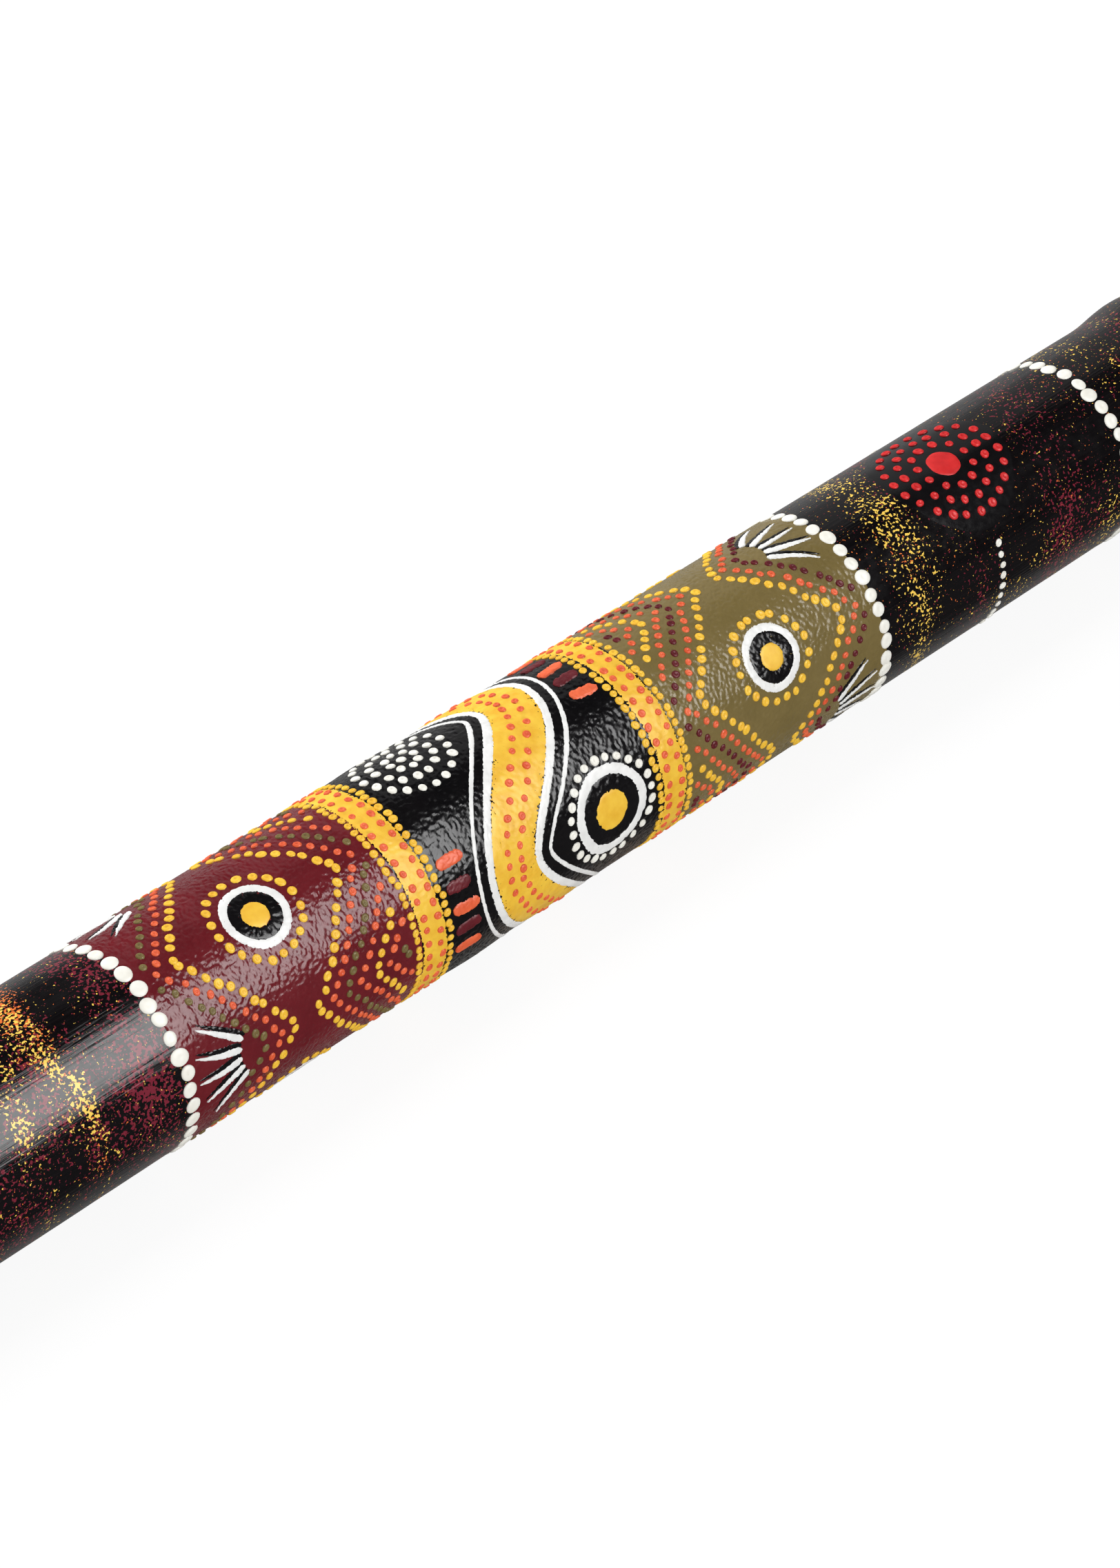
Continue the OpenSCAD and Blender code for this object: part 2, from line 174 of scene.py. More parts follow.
# %% Helpers for reliefs
def roughen(piece, texture, depth, group=""):
    """Presses a relief into a piece, or into one group of its vertices, along the normals."""
    pick(piece)
    relief = piece.modifiers.new("relief", "DISPLACE")
    relief.texture = texture
    relief.texture_coords = "LOCAL"
    relief.strength = depth
    relief.vertex_group = group
    bpy.ops.object.modifier_apply(modifier=relief.name)


def cloud_texture(name, grain, depth):
    """A soft cloudy height pattern with grains of about the given size."""
    texture = bpy.data.textures.new(name, "CLOUDS")
    texture.noise_scale = grain
    texture.noise_depth = depth
    return texture


def creased_texture(name, grain, width):
    """Plateaus with thin winding creases, where the clouds cross their middle level."""
    texture = cloud_texture(name, grain, 0)
    texture.use_color_ramp = True
    stops = texture.color_ramp.elements
    stops[0].position = 0.5 - width
    stops[0].color = (1, 1, 1, 1)
    stops[1].position = 0.5 + width
    stops[1].color = (1, 1, 1, 1)
    stops.new(0.5).color = (0, 0, 0, 1)
    return texture


# %% [markdown]
# ## Finishes
#
# The paint is acrylic: satin, a little uneven in colour, with a fine tooth that breaks the
# highlight. An image could hold such a finish, but it would stretch and need a file. Here
# every finish is built from noise on Object coordinates, so it stays put on the piece and is
# sharp at any distance. Colours are written as the sRGB values that a paint chart would give.

# %% Helpers for finishes
def srgb(red, green, blue):
    """A paint chart colour as the linear colour that a shader wants."""
    def linear(c):
        c /= 255
        return c / 12.92 if c <= 0.04045 else ((c + 0.055) / 1.055) ** 2.4
    return (linear(red), linear(green), linear(blue), 1)


class Finish:
    """A material under construction, with short names for the nodes it is made of."""

    def __init__(self, name):
        self.material = bpy.data.materials.new(name)
        self.material.use_nodes = True
        self.tree = self.material.node_tree
        self.shader = self.tree.nodes["Principled BSDF"]
        self.where = self.node("ShaderNodeTexCoord").outputs["Object"]

    def node(self, kind):
        return self.tree.nodes.new(kind)

    def link(self, source, target):
        self.tree.links.new(source, target)

    def stretched(self, scale, shift=(0, 0, 0)):
        """Object coordinates, stretched and moved."""
        mapping = self.node("ShaderNodeMapping")
        mapping.inputs["Scale"].default_value = scale
        mapping.inputs["Location"].default_value = shift
        self.link(self.where, mapping.inputs["Vector"])
        return mapping.outputs["Vector"]

    def along(self, axis, from_place, to_place, start, end):
        """A value that changes along an axis and is level outside the two places."""
        split = self.node("ShaderNodeSeparateXYZ")
        self.link(self.where, split.inputs["Vector"])
        return self.between(split.outputs[axis], from_place, to_place, start, end)

    def noise(self, grain, detail=2.0, rough=0.5, where=None):
        """Noise with grains of about the given size in metres."""
        noise = self.node("ShaderNodeTexNoise")
        noise.inputs["Scale"].default_value = 1 / grain
        noise.inputs["Detail"].default_value = detail
        noise.inputs["Roughness"].default_value = rough
        self.link(where or self.where, noise.inputs["Vector"])
        return noise.outputs["Fac"]

    def cells(self, grain, where=None):
        """Distance to the middle of the nearest of many small cells."""
        cells = self.node("ShaderNodeTexVoronoi")
        cells.inputs["Scale"].default_value = 1 / grain
        self.link(where or self.where, cells.inputs["Vector"])
        return cells.outputs["Distance"]

    def between(self, value, low, high, to_low=0.0, to_high=1.0):
        """Stretches a value from one range to another and clips it there."""
        spread = self.node("ShaderNodeMapRange")
        spread.inputs["From Min"].default_value = low
        spread.inputs["From Max"].default_value = high
        spread.inputs["To Min"].default_value = to_low
        spread.inputs["To Max"].default_value = to_high
        self.link(value, spread.inputs["Value"])
        return spread.outputs["Result"]

    def sum(self, a, b, weight):
        """a plus weight times b."""
        add = self.node("ShaderNodeMath")
        add.operation = "MULTIPLY_ADD"
        self.link(b, add.inputs[0])
        add.inputs[1].default_value = weight
        self.link(a, add.inputs[2])
        return add.outputs[0]

    def mix(self, amount, first, second):
        """Goes from the first colour to the second. A colour is a tuple or a socket."""
        mix = self.node("ShaderNodeMix")
        mix.data_type = "RGBA"
        self.link(amount, mix.inputs["Factor"])
        for colour, name in ((first, "A"), (second, "B")):
            socket = [s for s in mix.inputs if s.name == name and s.type == "RGBA"][0]
            if isinstance(colour, tuple):
                socket.default_value = colour
            else:
                self.link(colour, socket)
        return [s for s in mix.outputs if s.type == "RGBA"][0]

    def colour(self, socket):
        """Gives the shader its colour."""
        self.link(socket, self.shader.inputs["Base Color"])

    def sheen(self, smooth, rough, grain):
        """Roughness that wanders between two values."""
        value = self.between(self.noise(grain), 0.3, 0.7, smooth, rough)
        self.link(value, self.shader.inputs["Roughness"])

    def bump(self, height, depth):
        """Fine roughness that only bends the light, up to the given depth in metres."""
        bump = self.node("ShaderNodeBump")
        bump.inputs["Distance"].default_value = depth
        self.link(height, bump.inputs["Height"])
        self.link(bump.outputs["Normal"], self.shader.inputs["Normal"])


# %% Plain paints
def plain_paint(name, colour, deep, smooth=0.3, rough=0.45):
    """Brushed or dotted acrylic: one pigment, a little deeper in places."""
    finish = Finish(name)
    patches = finish.between(finish.noise(4 * MM, 3), 0.35, 0.7)
    finish.colour(finish.mix(patches, colour, deep))
    finish.sheen(smooth, rough, 1.5 * MM)
    finish.bump(finish.noise(0.35 * MM, 3), 0.02 * MM)
    return finish.material


white_dot_paint = plain_paint("white dot paint", srgb(245, 244, 236), srgb(234, 231, 220))
white_line_paint = plain_paint("white line paint", srgb(240, 240, 238), srgb(226, 226, 224))
gold_paint = plain_paint("gold paint", srgb(243, 197, 62), srgb(232, 176, 44))
yellow_paint = plain_paint("yellow paint", srgb(245, 198, 60), srgb(235, 178, 45))
orange_paint = plain_paint("orange paint", srgb(236, 108, 66), srgb(218, 86, 48))
red_paint = plain_paint("red paint", srgb(214, 40, 40), srgb(190, 26, 30))
black_paint = plain_paint("black paint", srgb(12, 11, 13), srgb(18, 16, 18), 0.15, 0.24)
dark_red_paint = plain_paint("dark red paint", srgb(104, 30, 38), srgb(88, 22, 30))
olive_paint = plain_paint("olive paint", srgb(122, 106, 62), srgb(106, 90, 50))
print("paints mixed:", len(bpy.data.materials))

# %% Grounds of the panel
def field_paint(name, colour, deep, pale):
    """Thick ground paint of the panel, with an orange-peel surface."""
    finish = Finish(name)
    patches = finish.between(finish.noise(14 * MM, 4, 0.6), 0.35, 0.65)
    rubbed = finish.between(finish.noise(1.6 * MM, 2), 0.56, 0.75, 0, 0.35)
    ground = finish.mix(patches, colour, deep)
    finish.colour(finish.mix(rubbed, ground, pale))
    finish.sheen(0.15, 0.24, 2 * MM)
    finish.bump(finish.noise(1.1 * MM, 2), 0.05 * MM)
    return finish.material


maroon_ground = field_paint("maroon ground", srgb(108, 29, 36), srgb(96, 23, 30), srgb(116, 38, 44))
olive_ground = field_paint("olive ground", srgb(120, 104, 62), srgb(112, 97, 56), srgb(128, 112, 70))
centre_ground = field_paint("black field ground", srgb(14, 12, 14), srgb(10, 9, 11), srgb(22, 20, 22))
print("panel grounds mixed")

# %% [markdown]
# ### Sponged black
#
# Outside the panel the ground is black, dabbed with a sponge in maroon and in gold. The dabs
# join into bands round the tube, full of specks that grow sparse towards their edges. Thousands
# of small meshes could make them, but real specks have no height. So fine noise is cut by a
# threshold, and coarse noise, stretched round the tube, lowers it inside a band. Gold was
# dabbed most beside the panel, maroon most towards the bell.

# %% Sponged ground
# How much a dab helps a speck to show, and the soft edge of the level where specks start.
SPONGE_PRESS = 0.4
SPECK_EDGE = (0.725, 0.765)
# Bands are longer round the tube than along it, streaks and fibres much longer along it.
ROUND_THE_TUBE = (1, 0.4, 0.4)
ALONG_THE_TUBE = (0.02, 1, 1)


def sponge(finish, ground, colour, shift, cloud, grain, opening, lean):
    """Dabs one colour over a ground and returns the new colour. lean adds to the bands."""
    bands = finish.noise(cloud, 3, 0.6, finish.stretched(ROUND_THE_TUBE, shift))
    dabs = finish.between(finish.sum(bands, lean, 1), *opening)
    specks = finish.noise(grain, 1, 0.5, finish.stretched((1, 1, 1), shift))
    cover = finish.between(finish.sum(specks, dabs, SPONGE_PRESS), *SPECK_EDGE)
    return finish.mix(cover, ground, colour)


def sponged_black(name, from_panel, outwards, reaches, maroon_leans):
    """The ground on one side of the panel, which ends at from_panel. reaches says how far out
    the gold starts, is thickest and fades, maroon_leans how much maroon there is near and far."""
    finish = Finish(name)
    streaks = finish.noise(0.7 * MM, 3, 0.6, finish.stretched(ALONG_THE_TUBE))
    black = finish.mix(finish.between(streaks, 0.45, 0.75), srgb(9, 7, 9), srgb(18, 14, 16))
    start, peak, fade = [from_panel + outwards * reach for reach in reaches]
    rise = finish.along("X", start, peak, -0.14, 0.08)
    gold_lean = finish.sum(rise, finish.along("X", peak, fade, 0, -0.16), 1)
    maroon_lean = finish.along("X", peak, fade, *maroon_leans)
    colour = black
    for pigment, shift, cloud, grain, opening, lean in (
        (srgb(118, 34, 50), (0.11, 0.52, 0.17), 30 * MM, 0.95 * MM, (0.46, 0.9), maroon_lean),
        (srgb(226, 116, 52), (0.53, 0.27, 0.41), 24 * MM, 0.8 * MM, (0.54, 0.96), gold_lean),
        (srgb(246, 205, 90), (0.545, 0.275, 0.415), 24 * MM, 0.9 * MM, (0.45, 0.79), gold_lean),
    ):
        colour = sponge(finish, colour, pigment, shift, cloud, grain, opening, lean)
    finish.colour(colour)
    finish.sheen(0.14, 0.22, 3 * MM)
    finish.bump(streaks, 0.1 * MM)
    return finish.material


panel_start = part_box("maroon_field")[0].x
panel_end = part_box("olive_field")[1].x
bell_ground = sponged_black(
    "sponged bell ground", panel_start, -1, (14 * MM, 28 * MM, 42 * MM), (0.1, 0.03))
mouth_ground = sponged_black(
    "sponged mouth ground", panel_end, 1, (0, 15 * MM, 34 * MM), (-0.06, 0.02))
print(f"sponged grounds mixed, panel from {panel_start / MM:.0f} to {panel_end / MM:.0f} mm")

# %% [markdown]
# ## The bamboo culm
#
# Under the paint is a length of bamboo. It shows at the bell, where a narrow rim is left bare,
# and inside, where the walls between the joints of the cane were knocked through with a rod
# and left ragged rims. A cylinder with a hole cut by a Boolean could stand for it, but its edges
# would be sharp and its bore plain. One closed profile, turned round the axis, gives rounded
# edges, bore and rims at once. The fibres of bamboo run lengthwise and end as dark points in
# the sawn face, so one cell pattern, drawn out along the tube, serves for both.

# %% Turn a profile
def lathe(name, profile, steps):
    """Turns a closed profile, points (x, r), round the axis of the tube."""
    start_fresh()
    bpy.ops.mesh.primitive_circle_add(vertices=len(profile), radius=1)
    piece = bpy.context.object
    piece.name = name
    set_points(piece, [(x, 0, axis_z + r) for x, r in profile])
    bpy.ops.object.mode_set(mode="EDIT")
    bpy.ops.mesh.select_all(action="SELECT")
    bpy.ops.mesh.spin(steps=steps, angle=2 * math.pi, center=(0, 0, axis_z), axis=(1, 0, 0))
    bpy.ops.mesh.select_all(action="SELECT")
    bpy.ops.mesh.remove_doubles(threshold=0.002 * MM)
    bpy.ops.mesh.normals_make_consistent(inside=False)
    bpy.ops.object.mode_set(mode="OBJECT")
    return piece


# %% Measure the cane
cane_x, cane_r = radii_along("bamboo_culm")
inside = cane_r < (cane_r.min() + cane_r.max()) / 2
bore_r = cane_r[inside].max()
neck_r = cane_r[inside].min()
rim_x = np.unique(np.round(cane_x[inside & (cane_r < neck_r + 0.01 * MM)], 5))
joints = [(a + b) / 2 for a, b in zip(rim_x[::2], rim_x[1::2])]
order = np.argsort(cane_x[~inside])
outer_x, outer_r = cane_x[~inside][order], cane_r[~inside][order]
bell_x, mouth_x = culm_low.x, culm_high.x
print(f"bore radius {bore_r / MM:.1f} mm, {len(joints)} joints with rims of {neck_r / MM:.1f} mm")


# %% Turn the culm
def bore(x):
    """Radius of the bore, with a rounded rim at each joint of the cane."""
    rims = sum(np.exp(-np.abs((x - joint) / (3 * MM)) ** 3) for joint in joints)
    return bore_r - (bore_r - neck_r) * rims


# How far the sawn edges are rounded.
ARRIS = 0.7 * MM
bare_rim_x = np.linspace(bell_x + ARRIS, bell_x + 6 * MM, 8)
under_paint_x = np.arange(bell_x + 12 * MM, mouth_x, 12 * MM)
inside_x = np.arange(mouth_x, bell_x + ARRIS, -3.5 * MM)
face_r = np.linspace(bore_r + ARRIS, outer_r[0] - ARRIS, 6)
culm_profile = (
    [(x, np.interp(x, outer_x, outer_r)) for x in np.concatenate([bare_rim_x, under_paint_x])]
    + [(mouth_x, outer_r[-1])]
    + [(x, bore(x)) for x in inside_x]
    + [(bell_x + ARRIS, bore_r), (bell_x + 0.3 * ARRIS, bore_r + 0.3 * ARRIS)]
    + [(bell_x, r) for r in face_r]
    + [(bell_x + 0.3 * ARRIS, outer_r[0] - 0.3 * ARRIS)]
)
culm = lathe("bamboo_culm_cane", culm_profile, 128)
print("points in the culm's profile:", len(culm_profile))

# %% Roughen its bore
hollow = culm.vertex_groups.new(name="bore")
x, y, z = get_points(culm).T
deep_inside = (np.hypot(y, z - axis_z) < bore_r + 0.1 * MM) & (x > bell_x + 4 * MM)
hollow.add([int(i) for i in np.flatnonzero(deep_inside)], 1, "REPLACE")
roughen(culm, cloud_texture("knocked rims", 5 * MM, 2), 2.2 * MM, hollow.name)
roughen(culm, cloud_texture("pith", 1.8 * MM, 1), 0.5 * MM, hollow.name)
shade_smooth(culm, 40)
print("points roughened in the bore:", deep_inside.sum())


# %% Finish the bamboo
def bamboo_finish():
    """Sawn bamboo: dark ends of fibres in a pale straw."""
    finish = Finish("bamboo")
    fibres = finish.between(finish.cells(0.75 * MM, finish.stretched(ALONG_THE_TUBE)), 0.12, 0.42)
    patches = finish.between(finish.noise(11 * MM, 3), 0.35, 0.7)
    wood = finish.mix(patches, srgb(212, 178, 120), srgb(186, 146, 88))
    finish.colour(finish.mix(fibres, srgb(118, 80, 42), wood))
    finish.sheen(0.55, 0.75, 3 * MM)
    finish.bump(fibres, 0.06 * MM)
    return finish.material


culm.data.materials.append(bamboo_finish())
place_on_part(culm, "bamboo_culm")

# %% [markdown]
# ## The beeswax mouthpiece
#
# The rim of the mouth is covered with warm beeswax, pressed on by hand. It could be sculpted,
# but that needs a hand on the mouse. So it is turned with a full rounded lip and then dented
# with two reliefs: the broad one is the work of the thumbs, the fine one the skin of the wax.
# Wax lets some light in, hence the subsurface part of its finish.

# %% Press the wax on
wax_low, wax_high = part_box("beeswax_mouthpiece")
wax_x, wax_r = radii_along("beeswax_mouthpiece")
lip_r, blow_r = wax_r.max(), wax_r.min()
cane_end_r = outer_r[-1]
collar_x = wax_x[wax_r > cane_end_r + 0.5 * MM].min()
crown = 0.65 * (wax_high.x - mouth_x)
crown_x = wax_high.x - crown


def rounded_lip(steps=25, fullness=0.7):
    """Over the crown of the lip from the outside into the bore, fuller than a half ellipse."""
    turns = np.linspace(0, math.pi, steps)
    swing = np.sign(np.cos(turns)) * np.abs(np.cos(turns)) ** fullness
    radii = (lip_r + blow_r) / 2 + (lip_r - blow_r) / 2 * swing
    return list(zip(crown_x + crown * np.sin(turns), radii))


wax_profile = (
    [(wax_low.x, r) for r in np.linspace(blow_r, bore_r, 5)]
    + [(x, bore_r) for x in np.linspace(wax_low.x, mouth_x, 8)[1:]]
    + [(mouth_x, cane_end_r), (collar_x, cane_end_r)]
    + [(collar_x, lip_r - 0.7 * MM), (collar_x + 0.4 * MM, lip_r)]
    + [(x, lip_r) for x in np.arange(collar_x + 1.4 * MM, crown_x, 1 * MM)]
    + rounded_lip()
    + [(x, blow_r) for x in np.arange(crown_x - 1 * MM, wax_low.x + 0.5 * MM, -1 * MM)]
)
wax = lathe("beeswax_lip", wax_profile, 144)
roughen(wax, cloud_texture("thumb dents", 9 * MM, 1), 2.0 * MM)
roughen(wax, cloud_texture("wax skin", 2 * MM, 2), 0.25 * MM)
shade_smooth(wax, 60)
print(f"lip radius {lip_r / MM:.1f} mm, bore radius {blow_r / MM:.1f} mm")


# %% Finish the wax
def wax_finish():
    """Honey brown wax with dark motes in it."""
    finish = Finish("beeswax")
    patches = finish.between(finish.noise(8 * MM, 3), 0.35, 0.68)
    honey = finish.mix(patches, srgb(186, 126, 46), srgb(142, 88, 30))
    motes = finish.between(finish.noise(1.1 * MM, 2, 0.7), 0.66, 0.74)
    finish.colour(finish.mix(motes, honey, srgb(92, 56, 24)))
    finish.sheen(0.3, 0.5, 4 * MM)
    finish.bump(finish.noise(0.8 * MM, 3), 0.05 * MM)
    finish.shader.inputs["Subsurface Weight"].default_value = 0.2
    finish.shader.inputs["Subsurface Radius"].default_value = (1.0, 0.5, 0.15)
    finish.shader.inputs["Subsurface Scale"].default_value = 3 * MM
    return finish.material


wax.data.materials.append(wax_finish())
place_on_part(wax, "beeswax_mouthpiece")

# %% [markdown]
# ## Ground coats and colour fields
#
# A ground coat is a sleeve of paint about half a millimetre thick. A cylinder could be its
# start, but its faces are long and thin, and a fine relief needs small square ones. So it
# starts as a flat grid, is rolled up round the tube and sewn at its seam, and only then gets
# its relief, which runs on across the seam. Last, both rims are extruded down to the bamboo and
# bridged inside, which closes the sleeve.

# %% Make a sleeve
# Thickness of the coats, depth of the creases in the panel's thick paint, and depth of the
# marks that a broad brush left in the black.
COAT = 0.4 * MM
PEEL_DEPTH = 0.2 * MM
DRAG_DEPTH = 0.08 * MM
orange_peel = creased_texture("orange peel", 1.3 * MM, 0.13)
brush_drag = cloud_texture("brush drag", 9 * MM, 2)


def flat_sheet(name, from_x, to_x, cell_long, cell_round):
    """A flat grid that reaches once round the tube."""
    start_fresh()
    length = to_x - from_x
    bpy.ops.mesh.primitive_grid_add(
        x_subdivisions=round(length / cell_long),
        y_subdivisions=round(way_round / cell_round),
        size=1,
        location=((from_x + to_x) / 2, 0, 0),
    )
    sheet = bpy.context.object
    sheet.name = name
    sheet.scale = (length, way_round, 1)
    bpy.ops.object.transform_apply(location=True, rotation=False, scale=True)
    return sheet


def close_inside(piece, thickness):
    """Extrudes the open rims towards the axis and bridges them inside the sleeve."""
    pick(piece)
    bpy.ops.object.mode_set(mode="EDIT")
    bpy.ops.mesh.select_mode(type="EDGE")
    bpy.ops.mesh.select_all(action="DESELECT")
    bpy.ops.mesh.select_non_manifold(
        extend=False, use_wire=False, use_boundary=True, use_multi_face=False,
        use_non_contiguous=False, use_verts=False,
    )
    bpy.ops.mesh.extrude_region_move()
    shrink = 1 - thickness / round_r
    bpy.ops.transform.resize(value=(1, shrink, shrink), center_override=(0, 0, axis_z))
    bpy.ops.mesh.bridge_edge_loops()
    bpy.ops.object.mode_set(mode="OBJECT")


def lay_sleeve(node, cell_long, cell_round, texture, depth, ground):
    """A closed sleeve of ground paint with its relief, in the place of a solid."""
    low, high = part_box(node)
    sleeve = flat_sheet(node + "_paint", low.x, high.x, cell_long, cell_round)
    wrap(sleeve)
    merge_doubles(sleeve)
    roughen(sleeve, texture, depth)
    close_inside(sleeve, COAT)
    shade_smooth(sleeve, 50)
    sleeve.data.materials.append(ground)
    place_on_part(sleeve, node)


# %% Lay the ground coats
for node, ground in (("bell_ground_coat", bell_ground), ("mouth_ground_coat", mouth_ground)):
    lay_sleeve(node, 1.6 * MM, 0.7 * MM, brush_drag, DRAG_DEPTH, ground)

# %% Lay the panel
for node, ground, slot, cell in (
    ("maroon_field", maroon_ground, "maroon_ground", 0.4 * MM),
    ("centre_field", centre_ground, "centre_ground", 0.44 * MM),
    ("olive_field", olive_ground, "olive_ground", 0.4 * MM),
):
    lay_sleeve(node, cell, cell, orange_peel, PEEL_DEPTH, ground)

# %% [markdown]
# ## Drops of paint
#
# The dots are drops set down with the end of a stick. A drop has a steep rim, a rounded top
# and a tiny crater where the stick came away. A squashed sphere has neither rim nor crater and
# wastes faces on its hidden half. So one drop is modelled by insetting a disc, ring by ring.
# Every dot of the instrument is a copy of it, at the place and size that its solid has,
# turned and squeezed a little so that no two are alike.

# %% Model one drop
# Share of a drop's height that its upright rim takes.
DROP_RIM = 0.3


def model_drop(name, corners, rings):
    """A unit drop: radius 1, height 1. rings lists (inset, rise) steps from the rim inwards."""
    start_fresh()
    bpy.ops.mesh.primitive_circle_add(vertices=corners, radius=1, fill_type="NGON")
    drop = bpy.context.object
    drop.name = name
    bpy.ops.object.mode_set(mode="EDIT")
    bpy.ops.mesh.select_all(action="SELECT")
    bpy.ops.mesh.extrude_region_move(TRANSFORM_OT_translate={"value": (0, 0, DROP_RIM)})
    for inset, rise in rings:
        bpy.ops.mesh.inset(thickness=inset, depth=rise)
    bpy.ops.mesh.poke()
    bpy.ops.mesh.select_all(action="SELECT")
    bpy.ops.mesh.normals_make_consistent(inside=False)
    bpy.ops.object.mode_set(mode="OBJECT")
    return drop


large_drop = model_drop(
    "large drop", 24, [(0.06, 0.22), (0.14, 0.28), (0.24, 0.18), (0.26, 0.03), (0.1, -0.1)]
)
small_drop = model_drop("small drop", 12, [(0.12, 0.36), (0.2, 0.3), (0.2, 0.04), (0.2, -0.4)])
print("drop faces:", len(large_drop.data.polygons), len(small_drop.data.polygons))

# %% Find the drops in the solids
def loose_parts(node):
    """The vertices of each separate body in a solid, as arrays."""
    body = bmesh.new()
    body.from_mesh(nodes[node].data)
    bmesh.ops.remove_doubles(body, verts=body.verts, dist=0.001 * MM)
    unseen = set(body.verts)
    parts = []
    for seed in list(body.verts):
        if seed not in unseen:
            continue
        unseen.discard(seed)
        reached = [seed]
        for vert in reached:
            for edge in vert.link_edges:
                other = edge.other_vert(vert)
                if other in unseen:
                    unseen.discard(other)
                    reached.append(other)
        parts.append(np.array([v.co for v in reached]))
    body.free()
    return parts


def flat_place(points):
    """Where a small body sits when the tube is unrolled: x, y, half its length and its height."""
    low, high = points.min(0), points.max(0)
    middle = (low + high) / 2
    turn = math.atan2(middle[1], middle[2] - axis_z)
    outward = points[:, 1] * math.sin(turn) + (points[:, 2] - axis_z) * math.cos(turn)
    return middle[0], turn * round_r, (high[0] - low[0]) / 2, outward.max() - outward.min()


def unrolled(points):
    """The flat places of the vertices of one small body."""
    _, y, _, _ = flat_place(points)
    turn = np.arctan2(points[:, 1], points[:, 2] - axis_z) - y / round_r
    turn = (turn + math.pi) % (2 * math.pi) - math.pi
    return np.column_stack([points[:, 0], y + turn * round_r])


# %% Set copies of a drop down
# How far a drop sinks into the paint below it, and how much its size and shape vary.
SINK = 0.04 * MM
UNEVEN = 0.1


def set_drops(node, model, foot, paint, seed, sway):
    """Sets copies of a drop down where a solid has its bodies, joins them and rolls them up.
    The drops start at the height foot, and sway is how far the hand misses, as a share of the
    radius."""
    name = node + "_paint"
    rng = np.random.default_rng(seed)
    start_fresh()
    copies = []
    for x, y, radius, height in [flat_place(points) for points in loose_parts(node)]:
        copy = bpy.data.objects.new(name, model.data.copy())
        bpy.context.collection.objects.link(copy)
        squeeze = 1 + rng.uniform(-UNEVEN, UNEVEN)
        x, y = np.array([x, y]) + rng.normal(0, sway * radius, 2)
        copy.location = (x, y, foot - SINK)
        copy.rotation_euler = (0, 0, rng.uniform(0, 2 * math.pi))
        radius *= 1 + rng.uniform(-UNEVEN, UNEVEN)
        copy.scale = (radius * squeeze, radius / squeeze, height * rng.uniform(0.85, 1.1) + SINK)
        copy.select_set(True)
        copies.append(copy)
    bpy.context.view_layer.objects.active = copies[0]
    bpy.ops.object.transform_apply(location=True, rotation=True, scale=True)
    bpy.ops.object.join()
    dots = bpy.context.object
    dots.name = name
    wrap(dots)
    shade_smooth(dots, 60)
    dots.data.materials.append(paint)
    place_on_part(dots, node)


# %% Set all the drops
# Thickness of a brushed film, and the drops that stand on one instead of on the ground.
FILM = 0.15 * MM
ON_A_FILM = ("centre_orange_dots", "red_rosette")
DROP_NODES = (
    ("bell_dot_ring", large_drop, white_dot_paint, "white_paint", 0.12),
    ("mouth_dot_ring", large_drop, white_dot_paint, "white_paint", 0.12),
    ("upper_dot_ring", large_drop, white_dot_paint, "white_paint", 0.12),
    ("lower_dot_ring", large_drop, white_dot_paint, "white_paint", 0.12),
    ("fine_dot_ring", small_drop, white_dot_paint, "white_paint", 0.15),
    ("maroon_yellow_dots", small_drop, yellow_paint, "yellow_paint", 0.2),
    ("olive_yellow_dots", small_drop, yellow_paint, "yellow_paint", 0.2),
    ("maroon_orange_dots", small_drop, orange_paint, "orange_paint", 0.25),
    ("olive_orange_dots", small_drop, orange_paint, "orange_paint", 0.25),
    ("centre_orange_dots", small_drop, orange_paint, "orange_paint", 0.25),
    ("maroon_olive_dots", small_drop, olive_paint, "olive_paint", 0.25),
    ("olive_maroon_dots", small_drop, dark_red_paint, "dark_red_paint", 0.25),
    ("border_beads", small_drop, yellow_paint, "yellow_paint", 0.2),
    ("white_halo_dots", small_drop, white_dot_paint, "white_paint", 0.15),
    ("white_rosettes", small_drop, white_dot_paint, "white_paint", 0.15),
    ("red_rosette", small_drop, red_paint, "red_paint", 0.15),
)
for number, (node, model, paint, slot, sway) in enumerate(DROP_NODES):
    foot = FILM if node in ON_A_FILM else 0
    set_drops(node, model, foot, paint, seed=100 + number, sway=sway)

# %% [markdown]
# ## Brushed marks
#
# Bands, rings and strokes are laid with a brush: a thin film with soft edges that wander a
# little with the hand. They could be colours in the material of the ground, but then their
# edges would have no height to catch the light. Each one is a grid strip, bent flat along a
# path, wrapped on to the skin and given the same orange-peel relief as the ground below,
# because so thin a film can't hide it.

# %% Lay a brushed strip
# How far a mark reaches under the one beside it, and how deep its body goes below its surface.
TUCK = 0.4 * MM
BODY = 0.25 * MM


def hand_wobble(rng, s, size):
    """A slow random sway along a stroke, the same at both ends."""
    sway = np.zeros_like(s)
    for k in range(1, 6):
        sway += rng.normal(0, size / k) * np.sin(2 * math.pi * (k * 3 * s + rng.uniform()))
    return sway


